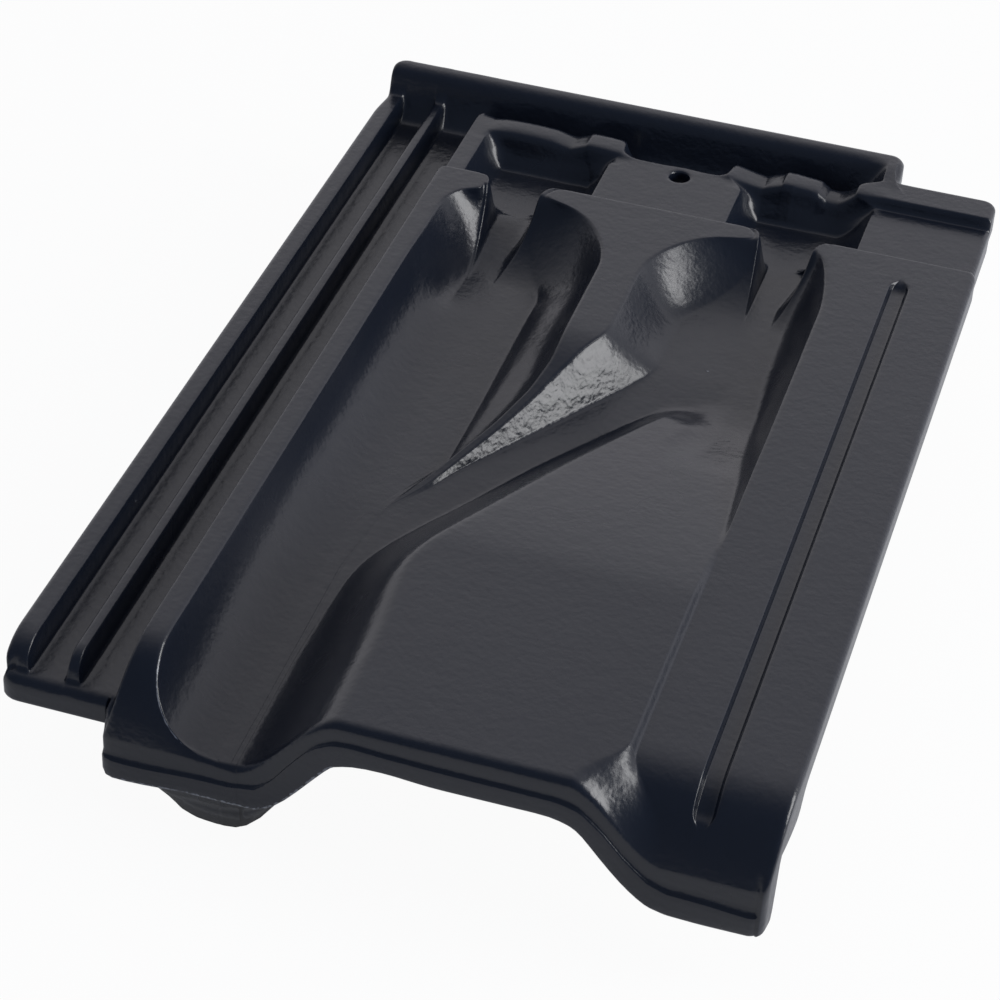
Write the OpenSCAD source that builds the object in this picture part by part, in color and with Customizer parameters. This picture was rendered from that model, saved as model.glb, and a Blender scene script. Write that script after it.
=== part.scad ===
// Interlocking clay roof tile, pressed in one piece.
// X runs across the tile, Y runs up the roof from the front lip to the head, Z is up.
// The tile is a loft: each row along Y has one cross-section, given by key points on its feature lines.
// Heights in the sections are measured from the plateau, which is the level of the bank and the flap.

/* [Tile] */
// Length from the front lip to the back of the head rim
tile_l = 444; // [425:1:470]
// Height of the plateau above the surface that the tile lies on
plateau_h = 64; // [62:0.5:72]
// Thickness of the clay under troughs and panel
wall = 12; // [9:0.5:14]

/* [Side lock] */
// Width of the strip that the next tile covers
strip_w = 49.5; // [46.5:0.5:54]
// Width of the strip's outer rim
strip_rim_w = 8.5; // [6:0.5:10]
// Width of the rib between the two channels
strip_rib_w = 4; // [3:0.5:7]
// Distance from the left edge to the rib
strip_rib_x = 24.5; // [21.5:0.5:27.5]
// Drop from the plateau to the tops of the strip's rim and rib
strip_drop = 11; // [8:0.5:14]
// Depth of the two channels
channel_depth = 10.5; // [8:0.5:12]
// Thickness of the clay under the channels
strip_floor = 7; // [6:0.5:10]
// Distance from the front lip to the strip's front end
strip_front = 10; // [6:1:20]

/* [Pan] */
// Width of the bank between side lock and first trough
bank_w = 9; // [7:0.5:14]
// Width of each trough
trough_w = 78; // [74:1:86]
// Width of the ridge between the troughs
ridge_w = 17.5; // [14:0.5:24]
// Depth of the first trough at the head
trough_depth = 26; // [21:0.5:28]
// Depth of the second trough
trough2_depth = 20; // [16:0.5:23]
// How much deeper the first trough is at the front lip
trough_fall = 4; // [1:0.5:6]
// Height of the front panel above the plateau
panel_rise = 3; // [1:0.5:6]
// Distance from the front lip to the point where the ridge ends
ridge_tip_y = 157; // [145:1:170]
// Distance from the front lip to the peak of the panel
panel_peak_y = 241; // [230:1:255]
// Distance from the front lip to the start of the panel's slanting edge
panel_bend_y = 102; // [90:1:115]

/* [Flap] */
// Width of the flap that covers the next tile's side lock
flap_w = 57; // [52:0.5:62]
// Thickness of the flap
flap_t = 10; // [8:0.5:10.5]
// Distance from the flap's left edge to its groove
groove_in = 23.5; // [20:0.5:27]
// Width of the groove
groove_w = 9.5; // [6:0.5:11]
// Depth of the groove
groove_depth = 3; // [1:0.5:4]
// Height of the flap's outer edge
flap_edge_h = 13; // [11:0.5:15]
// Distance from the groove to the outer finger below the flap
finger_gap = 10; // [8:0.5:11]
// Width of the outer finger
finger_w = 6; // [5:0.5:7]
// Length of both fingers, from the plateau down
finger_drop = 20; // [16:0.5:21]

/* [Front lip] */
// Length over which bank and flap curve down to the lip
nose_l = 26; // [18:0.5:29]
// Drop of the flap at the lip
nose_drop = 26; // [18:0.5:29]
// Height of the lip's face
lip_h = 23; // [19:0.5:25]
// Height of the upper band on the lip's face
lip_band = 7; // [4:0.5:9]
// Thickness of the lip
lip_t = 9; // [7:0.5:10]
// How far the flap's front corner is set in
lip_taper = 1.5; // [0.5:0.5:5]
// How far the bank's left wall leans out from top to lip
bank_flare = 6; // [3:0.5:7]

/* [Head] */
// Length of the head lock behind the plateau
head_l = 80; // [78:1:90]
// Drop from the plateau to the platforms of the head lock
platform_drop = 5; // [3:0.5:7]
// Depth of the two pockets below the plateau
pocket_depth = 20; // [16:0.5:23]
// Length of each pocket's floor
pocket_l = 38; // [35:1:40]
// Depth of the gutter behind the ribs
gutter_depth = 24; // [20:0.5:27]
// Thickness of the head rim at its top
rim_t = 10; // [8:0.5:12]
// Height of the head rim above the plateau
rim_rise = 1.5; // [0:0.5:4]
// Width of the notch in the head, at the flap's end
notch_w = 47; // [42:0.5:49]
// Length of the same notch
notch_l = 20.5; // [19:0.5:24]
// Width of the drains from the pockets to the troughs, at their floor
drain_w = 11; // [8:0.5:14]
// Width of the same drains at the pockets
drain_mouth = 27; // [22:0.5:30]
// How far the drains lean to the right on their way to the pockets
drain_lean = 3; // [0:0.5:5]

/* [Nail hole] */
// Diameter of the nail hole
nail_d = 9; // [6:0.5:11]
// Distance from the hole to the left edge
nail_x = 149; // [142:0.5:156]
// Distance from the hole to the back of the head rim
nail_in = 44; // [42:0.5:50]

/* [Hidden] */

// Lines along the tile
bank_x = strip_w;
trough1_x = bank_x + bank_w;
ridge_x = trough1_x + trough_w;
trough2_x = ridge_x + ridge_w;
flap_x = trough2_x + trough_w;
tile_w = flap_x + flap_w;
groove_x = flap_x + groove_in;
finger_x = groove_x + groove_w + finger_gap;

// Widths of slopes, measured across them
edge_r = 1.2;
channel_run = 1.5;
bank_run = 5.5;
toe_run = 9.5;
bowl_run = 28;
ridge_run = 26.5;
facet_run = 20;
pocket_run = 9;
pocket_back = 6;

// Lines across the tile
step_y = tile_l - head_l;
step_run = 1.5;
pocket_y = step_y + pocket_l;
rib_y = pocket_y + pocket_back;
notch_y = tile_l - notch_l;
rib_back_y = notch_y - 2;
gutter_y = rib_back_y + 4;
rim_y = tile_l - rim_t;
arch_l = 44;
arch_y = step_y - 10 - arch_l;
dome_l = 36;

// Places of the drains and the panel's lines
drain1_x = trough1_x + 24.5;
drain2_x = trough2_x + 51;
panel_x = trough1_x + 68.5;
panel_toe_x = panel_x - 31;
panel_low = 15.5;
platform_in = 1.5;
rim_in = 2.5;
platform_x1 = ridge_x - 20;
platform_x2 = trough2_x + 23;
bump_rise = 1;
dip_drop = 4;
slot_drop = 4;
link_bulge = 9;

// Underside: nibs that hang on the batten and the boss under the first trough
nib_y = step_y + 10;
nib_l = 21;
boss_y = 3;
boss_l = 40;
boss_run = 3;
boss_tail = 10;

// Small steps in the rows
lip_step = 0.4;
lip_ledge = 1;
lip_run = 3;

// How the lip's face differs from lip_h: along the pan, at the panel's left edge, along the flap
lip_less = 5.5;
lip_more = 5;
lip_flap = 1.5;

// How much thicker the strip is at its front end, and over which length
strip_lip = 4.5;
strip_lip_l = 9;

// Share of the groove's width that each of its walls takes, and the lengths of its soft ends
groove_wall = 0.15;
groove_front = [8, 15];
groove_head = [23, 19];

function clamp(v, lo, hi) = max(lo, min(hi, v));
function part(v, a, b) = clamp((v - a) / (b - a), 0, 1);
function ease(t) = t * t * (3 - 2 * t);
function mix(a, b, t) = a + (b - a) * t;

// Height of the trough floors along the tile
function floor1(y) = -trough_depth - trough_fall * (1 - part(y, 0, ridge_tip_y));
function floor2(y) = mix(floor1(y), -trough2_depth, part(y, ridge_tip_y, panel_peak_y + 30));

// Height of the bank and the flap, which curve down at the front lip
function nose(y, drop) = -drop * pow(1 - part(y, 0, nose_l), 2);

// Height of the panel, which starts below the flap and rises to the front
function panel_slope(y) =
    mix(panel_rise, -panel_low, pow(part(y, panel_bend_y + 10, panel_peak_y + 5), 1.25));
function panel(y) = mix(panel_slope(y), floor2(y), ease(part(y, panel_peak_y, panel_peak_y + 7)));
function panel_right(y) =
    mix(panel_slope(y), floor2(y), ease(part(y, panel_peak_y - 25, panel_peak_y + 30)));

// Drain walls close in from the pocket to the trough
function drain_side(y, x, side) = x + mix(side * (drain_w + 1) / 2, drain_lean + side * drain_mouth / 2,
    part(y, arch_y + 10, step_y));

// The drain's floor climbs from the trough to the pocket
function drain_z(y, low) = mix(low, -pocket_depth, ease(part(y, arch_y + 10, step_y)));

// Arch at the head of a trough: the edge closes in on an ellipse, the end wall rises as a dome;
// the first trough's left edge closes in on a shorter ellipse
function arch(y) = 1 - sqrt(1 - pow(part(y, arch_y, arch_y + arch_l), 2));
function corner_arch(y) = 1 - sqrt(1 - pow(part(y, arch_y + arch_l / 2, arch_y + arch_l - 3), 2));
function dome(y, low) = low * cos(90 * part(y, arch_y + arch_l - dome_l, arch_y + arch_l));

// Ridge between the troughs, which runs out into the first trough in a slanting crest
ridge_end_y = panel_peak_y + 16;
tip_x = trough1_x + 38;
crest_w = 4.5;
function crest(y) = part(y, ridge_tip_y, ridge_end_y);
function crest_left(y) = mix(tip_x, ridge_x, 1 - pow(1 - crest(y), 1.6));
function crest_width(y) = mix(mix(0.6, crest_w, part(crest(y), 0, 0.15)), ridge_w, pow(crest(y), 8));
function crest_right(y) = crest_left(y) + crest_width(y);
function crest_z(y) = mix(floor1(y), 0, crest(y));

// Lines of the slanting channel that joins the second trough to the first
function facet_toe(y) = max(crest_right(y) + 1.5,
    mix(tip_x, trough2_x + facet_run, 1 - pow(1 - part(y, ridge_tip_y, ridge_end_y + 20), 1.3)));
function panel_toe(y) = mix(panel_toe_x, trough2_x + 27, part(y, panel_bend_y + 13, panel_peak_y + 4));
function panel_edge(y) = mix(panel_x, trough2_x + 37.5, part(y, panel_bend_y, panel_peak_y + 5));
function before_tip(y, step) = min(0, (part(y, ridge_tip_y - 40, ridge_tip_y) - 1)) * step;

// Strip with the two channels, open to the front
function strip_top(y) =
    -strip_drop - (channel_depth - 2) * (1 - ease(part(y, strip_front, strip_front + 12)));
function strip_low() = -strip_drop - channel_depth;
function strip_keys(y) = [
    [0, strip_top(y) - edge_r],
    [edge_r, strip_top(y)],
    [strip_rim_w, strip_top(y)],
    [strip_rim_w + channel_run, strip_low()],
    [strip_rib_x - channel_run / 2, strip_low()],
    [strip_rib_x, strip_top(y)],
    [strip_rib_x + strip_rib_w, strip_top(y)],
    [strip_rib_x + strip_rib_w + channel_run, strip_low()],
    [bank_x - bank_run, strip_low()]
];

// The first trough's left wall is a quarter of an ellipse, which the drain cuts near the arch
function bowl_z(y, x, low) =
    let (share = sqrt(1 - pow(part(x, trough1_x + bowl_run, trough1_x), 2)))
    let (edge = nose(y, trough_depth + trough_fall))
    mix(mix(edge, low, share), low, part(y, arch_y - 20, arch_y));

// First trough with its drain
function trough1_keys(y) =
    let (left = drain_side(y, drain1_x, -1))
    let (right = drain_side(y, drain1_x, 1))
    let (up = dome(y, floor1(y)))
    let (toe = ease(part(y, arch_y, arch_y + arch_l)))
    let (shift = before_tip(y, 24))
    [
        [bank_x + nose(y, bank_flare), nose(y, trough_depth + trough_fall)],
        [mix(trough1_x, left - 2, corner_arch(y)), nose(y, trough_depth + trough_fall)],
        [mix(trough1_x + toe_run, left - 1, toe), bowl_z(y, trough1_x + toe_run, up)],
        [left + shift / 4, bowl_z(y, left, up)],
        [drain1_x - drain_w / 2 + shift / 8, bowl_z(y, left, drain_z(y, floor1(y)))],
        [max(drain1_x + drain_w / 2, right - 4) + shift / 8, drain_z(y, floor1(y))],
        [right + shift / 8, up],
        [mix(min(ridge_x - ridge_run, crest_left(y) - 3) + shift / 4, right + 1, toe), up]
    ];

// Ridge and its slanting end
function ridge_keys(y) =
    let (left = mix(crest_left(y) + before_tip(y, 5), drain_side(y, drain1_x, 1) + 2, arch(y)))
    let (right = mix(crest_right(y) + before_tip(y, 4.4), drain_side(y, drain2_x, -1) - 2, arch(y)))
    let (round_in = min(edge_r, (right - left) / 4))
    [
        [left, crest_z(y) - round_in / 3],
        [left + round_in, crest_z(y)],
        [right - round_in, crest_z(y)],
        [right, crest_z(y) - round_in / 3]
    ];

// Second trough, the slanting channel and the panel
function trough2_keys(y) =
    let (drain_left = drain_side(y, drain2_x, -1))
    let (drain_right = drain_side(y, drain2_x, 1))
    let (up = dome(y, floor2(y)))
    let (toe = ease(part(y, arch_y, arch_y + arch_l)))
    let (open = part(y, panel_peak_y + 6, arch_y))
    let (edge = panel_edge(y))
    let (front = 1 - ease(part(y, 0, nose_l)))
    let (right_toe = mix(flap_x - 3, flap_x - 16, part(y, panel_bend_y + 56, panel_peak_y + 40)))
    let (right = mix(mix(right_toe, flap_x - 17, front), drain_right + 1, toe))
    let (over = max(panel(y), floor2(y)))
    let (over_right = max(panel_right(y), floor2(y)))
    [
        [mix(facet_toe(y) + before_tip(y, 4), drain_left - 1, toe), up],
        [mix(panel_toe(y), drain_left, open), mix(floor2(y), up, open)],
        [mix(edge, drain2_x - drain_w / 2, open), over],
        [mix(mix(edge, right, 1 / 3), max(drain2_x + drain_w / 2, drain_right - 4), open), over],
        [mix(mix(edge, right, 2 / 3), drain_right, open), mix(over_right, up, open)],
        [right, mix(over_right, up, open)],
        [mix(mix(flap_x, flap_x + 17, front), drain_right + 2, arch(y)), nose(y, nose_drop)]
    ];

// Flap with its groove
function flap_keys(y) =
    let (closed = ease(part(y, step_y - groove_head[0], step_y - groove_head[1])))
    let (dip = groove_depth * ease(part(y, groove_front[0], groove_front[1])) * (1 - closed))
    let (top = nose(y, nose_drop))
    let (side = tile_w - lip_taper * pow(1 - part(y, 0, 1.5 * nose_l), 2))
    [
        [groove_x, top],
        [groove_x + groove_w * groove_wall, top - dip],
        [groove_x + groove_w * (1 - groove_wall), top - dip],
        [groove_x + groove_w, top],
        [finger_x - 2, top],
        [finger_x, top],
        [finger_x + finger_w - 2, top],
        [finger_x + finger_w, top],
        [side - edge_r, top],
        [side, top - edge_r]
    ];

function pan_section(y) =
    concat(strip_keys(y), trough1_keys(y), ridge_keys(y), trough2_keys(y), flap_keys(y));

// Head lock: platforms, pockets, ribs, gutter and rim
function rim_set_in(y) = rim_in * ease(part(y, gutter_y, rim_y));
function rim_back(y) = rim_rise - 2.5 * pow(part(y, tile_l - 3, tile_l), 2);
function rim_z(y) = y < rim_y
    ? mix(strip_low(), rim_rise - 1, pow(part(y, notch_y - 2, rim_y), 3))
    : rim_back(y) - pow(1 - part(y, rim_y, rim_y + 2), 2);
function behind_ribs(y, z) = max(mix(z, -gutter_depth, ease(part(y, rib_back_y, gutter_y))), rim_z(y));
function pocket_z(y) = mix(-pocket_depth, -platform_drop, ease(part(y, pocket_y, rib_y)));
function bulge(y) = link_bulge * part(y, pocket_y, rib_y - 2) * (1 - part(y, rib_y + 8, rib_back_y));
function link_z(y) = mix(-platform_drop, 0, ease(part(y, rib_y - 1.5, rib_y)));

function head_section(y) =
    let (pocket = pocket_z(y))
    let (spread = ease(part(y, pocket_y, rib_y)))
    let (plat = behind_ribs(y, -platform_drop))
    let (low = behind_ribs(y, pocket))
    let (bump = behind_ribs(y, mix(pocket, -platform_drop + bump_rise, spread)))
    let (dip = behind_ribs(y, mix(pocket, -platform_drop - dip_drop, spread)))
    let (middle = behind_ribs(y, mix(-platform_drop, -gutter_depth, ease(part(y, rib_y + 3, rib_y + 8)))))
    let (slot = behind_ribs(y, mix(-pocket_depth, -platform_drop - slot_drop, spread)))
    let (link = link_z(y))
    let (corner = y < notch_y ? link : mix(0, rim_back(y), part(y, notch_y, gutter_y)))
    let (side = tile_w - platform_in)
    concat(
        [
            for (k = strip_keys(y))
                let (edge = 1 - part(k[0], 0, strip_rim_w))
                [k[0] + rim_set_in(y) * edge, max(k[1], rim_z(y))]
        ],
        [
            [bank_x, plat],
            [trough1_x - 1, plat],
            [trough1_x - 1 + pocket_run, low],
            [drain1_x - drain_w, low],
            [drain1_x - drain_w / 2, low],
            [drain1_x + drain_w / 2, low],
            [drain1_x + drain_w - 1, dip],
            [platform_x1 - pocket_run, bump],
            [platform_x1 + 4 * spread, plat],
            [platform_x1 + 8 + 2 * spread, middle],
            [platform_x2 - 8 - 4 * spread, middle],
            [platform_x2 - 8 * spread, plat],
            [platform_x2 + pocket_run, dip],
            [drain2_x - drain_w, bump],
            [drain2_x - drain_w / 2, bump],
            [drain2_x + drain_w / 2, bump],
            [drain2_x + drain_w - 2, slot],
            [flap_x - 11, slot],
            [flap_x + 3 - bulge(y), corner],
            [tile_w - notch_w, corner],
            [tile_w - notch_w + 8, link],
            [tile_w - notch_w + 16, link],
            [finger_x - 5, link],
            [finger_x - 2, link],
            [finger_x, link],
            [finger_x + finger_w - 2, link],
            [finger_x + finger_w, link],
            [side - edge_r, link],
            [side, link - edge_r]
        ]
    );

function keys(y) = y <= step_y ? pan_section(y) : head_section(y);

// Key numbers of the lines where the outline steps, and of those that shape the underside
BANK = 9;
DRAIN1 = 12;
PANEL_TOE = 22;
PANEL = 23;
PAN = [11, 26];
POCKET1 = [11, 16];
POCKET2 = [21, 26];
FLAP = 27;
NOTCH = 28;
FINGER1 = [29, 30];
FINGER2 = [33, 34];
LAST = 37;

// Key points that the underside uses
low_keys = [0, for (k = [BANK - 1 : DRAIN1]) k, for (k = [POCKET1[1] : LAST]) k];

// Columns from each key point to the next, and the curve of the slope between them
flat = 0;
slope = 1;
bowl = 2;
rise = 3;
facet = 4;
riser = 5;
columns = [
    [1, flat], [1, flat], [2, slope], [1, flat], [2, slope], [1, flat], [2, slope], [1, flat], [2, slope],
    [1, flat], [4, bowl], [1, flat], [2, flat], [1, flat], [2, flat], [1, flat], [4, rise],
    [1, flat], [1, flat], [1, flat],
    [4, facet], [1, flat], [4, riser], [1, flat], [1, flat], [1, flat], [4, slope],
    [2, flat], [1, flat], [1, flat], [1, flat], [1, flat],
    [1, flat], [1, flat], [1, flat], [1, flat], [1, flat]
];
function curve(kind, t, y) =
    kind == slope ? ease(t)
    : kind == bowl ? sin(90 * t)
    : kind == rise ? 1 - cos(90 * t)
    : kind == facet ? mix(t, sin(90 * t), part(y, ridge_end_y, arch_y))
    : kind == riser ? mix(sin(90 * t), 1 - cos(90 * t), part(y, panel_bend_y - 20, panel_bend_y + 20))
    : t;

function top_row(list, y) = [
    for (k = [0 : LAST - 1])
        for (i = [0 : columns[k][0] - 1])
            let (t = i / columns[k][0])
            let (climb = curve(columns[k][1], t, y))
            [mix(list[k][0], list[k + 1][0], t), mix(list[k][1], list[k + 1][1], climb)],
    list[LAST]
];

// Underside at a key point: clay below it, thicker beside a lower key point, and what hangs below that
under_blend = 0.35;
function inside(k, span) = k >= span[0] && k <= span[1];
function nib(y) = part(y, nib_y, nib_y + 2) * (1 - part(y, nib_y + nib_l, nib_y + nib_l + 6));
function boss(y) =
    part(y, boss_y, boss_y + boss_run) * (1 - part(y, boss_y + boss_l - boss_tail, boss_y + boss_l));
function shell(list, k) =
    mix(list[k][1], min([for (i = [max(0, k - 1) : min(LAST, k + 1)]) list[i][1]]), under_blend);
function skin(k) = k < FLAP ? wall : flap_t;
function below(list, k, y) =
    k <= BANK ? min(strip_low(), list[k][1]) - strip_floor - strip_lip * strip_end(y)
    : has_nib(k) && y > step_y ? mix(shell(list, k) - wall, -plateau_h, nib(y))
    : k >= LAST - 1 && y > nose_l ? list[k][1] - flap_edge_h
    : has_finger(k) && y > lip_t + lip_run && y < pocket_y ? -finger_drop
    : y < boss_y + boss_l && has_boss(k, y) ? mix(shell(list, k) - wall, -plateau_h, boss(y))
    : shell(list, k) - skin(k);
function has_nib(k) = inside(k, POCKET1) || inside(k, POCKET2);
function has_finger(k) = inside(k, FINGER1) || inside(k, FINGER2);
function strip_end(y) = 1 - part(y, strip_front + strip_lip_l, strip_front + strip_lip_l + lip_run);
function lip(y) = 1 - part(y, lip_t, lip_t + lip_run);
function lip_face(k) =
    k == PANEL ? lip_h + lip_more
    : inside(k, PAN) ? lip_h - lip_less
    : k > FLAP ? lip_h + lip_flap
    : lip_h;
function has_boss(k, y) = k >= DRAIN1 && k <= PANEL_TOE && y > boss_y;
function bottom_row(list, y) = [
    for (k = low_keys)
        let (face = k < BANK || has_boss(k, y) ? 0 : lip(y))
        [list[k][0], mix(below(list, k, y), list[k][1] - lip_face(k), face)]
];

// Rows along the tile: close together where the form turns, far apart where it runs straight
function rows(from, to, count) = [for (i = [0 : count - 1]) mix(from, to, i / count)];
function sorted(list) = len(list) < 2 ? list : concat(
    sorted([for (v = list) if (v < list[0]) v]),
    [list[0]],
    sorted([for (v = list) if (v > list[0]) v])
);
row_y = sorted(concat(
    [lip_ledge + lip_step, boss_y, boss_y + boss_run, lip_t, lip_t + lip_run, 18, nose_l, strip_front],
    [strip_front + strip_lip_l, strip_front + strip_lip_l + lip_run],
    [boss_y + boss_l - boss_tail, boss_y + boss_l, 70],
    rows(panel_bend_y - 6, ridge_tip_y, 6),
    rows(ridge_tip_y, panel_peak_y - 11, 9),
    rows(panel_peak_y - 11, ridge_end_y + 13, 6),
    rows(ridge_end_y + 13, arch_y, 1),
    rows(arch_y, arch_y + arch_l, 8),
    [arch_y + arch_l, step_y, step_y + step_run, nib_y, nib_y + 2, nib_y + nib_l],
    rows(pocket_y, rib_y, 4),
    [rib_y, rib_y + 3, rib_y + 8, rib_back_y, notch_y, gutter_y],
    [rim_y - 3, rim_y, rim_y + 2, tile_l - 3, tile_l - 1, tile_l]
));

// The lip's face: an upper band, a small ledge and the face below it
lip_keys = keys(row_y[0]);
function lowered(list, dz) = [for (p = list) [p[0], p[1] - dz]];
sections = concat(
    [lowered(lip_keys, lip_band + lip_step), lowered(lip_keys, lip_band)],
    [for (y = row_y) keys(y)]
);
section_y = concat([0, lip_ledge], row_y);
LIP_ROWS = 2;
first_strip_row = search(strip_front, section_y)[0];
first_notch_row = search(notch_y, section_y)[0];

function in_outline(r, k) =
    !(k < BANK && r < first_strip_row) && !(k >= NOTCH && r >= first_notch_row);

module clay() {
    tops = [for (r = [0 : len(sections) - 1]) top_row(sections[r], section_y[r])];
    bottoms = [
        for (r = [0 : len(sections) - 1])
            bottom_row(r < LIP_ROWS ? lip_keys : sections[r], section_y[r])
    ];
    last_row = len(sections) - 1;
    across = len(tops[0]);
    low_last = len(low_keys) - 1;
    first_bottom = across * len(sections);
    column_of = [for (k = 0, c = 0; k <= LAST; c = c + (k < LAST ? columns[k][0] : 0), k = k + 1) c];
    points = concat(
        [for (r = [0 : last_row]) for (p = tops[r]) [p[0], section_y[r], p[1]]],
        [for (r = [0 : last_row]) for (p = bottoms[r]) [p[0], section_y[r], p[1]]]
    );
    function top_at(r, c) = r * across + c;
    function low_at(r, i) = first_bottom + r * (low_last + 1) + i;
    function outward(same, t) = same ? t : [t[0], t[2], t[1]];
    function cell(r, k) = r >= 0 && r < last_row && k >= 0 && k < LAST && in_outline(r, k);
    top_faces = [
        for (r = [0 : last_row - 1])
            for (k = [0 : LAST - 1])
                if (cell(r, k))
                    for (c = [column_of[k] : column_of[k + 1] - 1])
                        each [
                            [top_at(r, c), top_at(r + 1, c), top_at(r + 1, c + 1)],
                            [top_at(r, c), top_at(r + 1, c + 1), top_at(r, c + 1)]
                        ]
    ];
    low_faces = [
        for (r = [0 : last_row - 1])
            for (i = [0 : low_last - 1])
                if (cell(r, low_keys[i]))
                    each [
                        [low_at(r, i), low_at(r + 1, i + 1), low_at(r + 1, i)],
                        [low_at(r, i), low_at(r, i + 1), low_at(r + 1, i + 1)]
                    ]
    ];
    across_walls = [
        for (r = [0 : last_row])
            for (i = [0 : low_last - 1])
                let (k = low_keys[i])
                if (cell(r, k) != cell(r - 1, k))
                    let (first = column_of[k])
                    let (last = column_of[low_keys[i + 1]])
                    each [
                        outward(cell(r, k), [top_at(r, first), low_at(r, i + 1), low_at(r, i)]),
                        for (c = [first : last - 1])
                            outward(cell(r, k), [top_at(r, c), top_at(r, c + 1), low_at(r, i + 1)])
                    ]
    ];
    along_walls = [
        for (r = [0 : last_row - 1])
            for (i = [0 : low_last])
                let (k = low_keys[i])
                if (cell(r, k) != cell(r, k - 1))
                    let (c = column_of[k])
                    each [
                        outward(cell(r, k), [top_at(r + 1, c), top_at(r, c), low_at(r, i)]),
                        outward(cell(r, k), [top_at(r + 1, c), low_at(r, i), low_at(r + 1, i)])
                    ]
    ];
    polyhedron(points, concat(top_faces, low_faces, across_walls, along_walls), convexity = 10);
}

module nail_hole() {
    translate([nail_x, tile_l - nail_in, -plateau_h])
        cylinder(d = nail_d, h = plateau_h, $fn = 48);
}

module roof_tile() {
    color("dimgray")
        translate([-tile_w / 2, -tile_l / 2, plateau_h])
            difference() {
                clay();
                nail_hole();
            }
}

roof_tile();
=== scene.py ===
# %% [markdown]
# # A black glazed roof tile
# The tile is one pressed piece of clay, so it is one surface here too. This lesson works that surface out
# with numpy, as a loft: every row up the roof has one cross-section, and every cross-section has the same
# list of points on the tile's own lines, such as the edge of a trough or the toe of a slope.

# %% The frame
import bpy
import numpy as np
from mathutils import Matrix, Vector


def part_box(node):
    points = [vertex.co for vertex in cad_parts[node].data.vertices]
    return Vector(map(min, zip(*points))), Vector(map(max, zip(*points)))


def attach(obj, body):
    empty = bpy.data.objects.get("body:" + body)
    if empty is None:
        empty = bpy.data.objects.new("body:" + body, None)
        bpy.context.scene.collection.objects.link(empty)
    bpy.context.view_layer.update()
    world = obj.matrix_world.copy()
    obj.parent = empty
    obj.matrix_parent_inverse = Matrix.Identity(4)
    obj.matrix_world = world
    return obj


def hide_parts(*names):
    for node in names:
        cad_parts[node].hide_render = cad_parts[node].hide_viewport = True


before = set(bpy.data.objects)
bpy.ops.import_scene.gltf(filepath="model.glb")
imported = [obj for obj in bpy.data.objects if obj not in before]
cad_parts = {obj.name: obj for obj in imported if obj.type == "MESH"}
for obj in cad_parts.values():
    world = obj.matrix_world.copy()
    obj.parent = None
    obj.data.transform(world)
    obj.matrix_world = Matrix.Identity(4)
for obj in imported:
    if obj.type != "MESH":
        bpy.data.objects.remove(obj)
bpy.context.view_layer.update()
low, high = (np.array(corner) * 1000 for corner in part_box("roof_tile"))
WIDTH, LENGTH, HEIGHT = high - low
PLATEAU = 64.0
print("tile", WIDTH, "x", LENGTH, "x", HEIGHT, "mm")


# %% [markdown]
# ## Small helpers
# Slopes on pressed clay never start or stop abruptly. `part` says how far a value is between two marks,
# `ease` turns that into a soft step, `mix` blends two values, and `averaged` takes the kinks out of a line.
# All of them work on whole arrays.

# %% Helpers
def part(v, a, b):
    """Share of the way from a to b, held between 0 and 1."""
    return np.clip((v - a) / (b - a), 0.0, 1.0)


def ease(t):
    """Soft step: three t squared minus two t cubed."""
    return t * t * (3.0 - 2.0 * t)


def mix(a, b, t):
    """a plus t times the way from a to b."""
    return a + (b - a) * t


def averaged(curve, y):
    """Mean of a curve over 16 mm, which makes its bends soft."""
    return sum(curve(y + s) for s in (-8, -4, 0, 4, 8)) / 5


def points(y, *pairs):
    """Stacks (x, z) pairs, given as numbers or rows, into one array of rows by points by two."""
    return np.stack([np.stack([0 * y + x, 0 * y + z], -1) for x, z in pairs], 1)


# %% [markdown]
# ## Lines along and across the tile
# All lengths are in millimetres from the front left corner. Heights are measured from the plateau, the level
# of the bank and the flap, because that is the surface the eye reads first.

# %% Lines
BANK, TROUGH1, RIDGE, TROUGH2, FLAP = 49.5, 58.5, 136.5, 154.0, 232.0
GROOVE, FINGER = 255.5, 275.0
STEP, POCKET, RIB, RIB_BACK, NOTCH, GUTTER, RIM = 364.0, 402.0, 408.0, 421.5, 423.5, 425.5, 434.0
ARCH, ARCH_L, DOME_L = 310.0, 44.0, 36.0
DRAIN1, DRAIN2, DRAIN_W, DRAIN_MOUTH, DRAIN_LEAN = 83.0, 205.0, 11.0, 27.0, 3.0
PANEL_TOE, PANEL_BEND, PANEL_PEAK = 93.5, 102.0, 241.0
RIDGE_TIP, RIDGE_END = 157.0, 257.0
TIP_X = TROUGH1 + 38
NOSE_L, STRIP_FRONT = 26.0, 10.0
STRIP_DROP, CHANNEL = 11.0, 10.5
NAIL_X, NAIL_Y, NAIL_R = 149.0, 400.0, 4.5
BOWL_RUN, BOWL_SEEN = 28.0, 17.0
EDGE_R, LIP_R, BACK_R, STRIP_R = 2.4, 3.5, 3.0, 4.5
DRAIN_R, RIM_END = 5.5, 47.0

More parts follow.
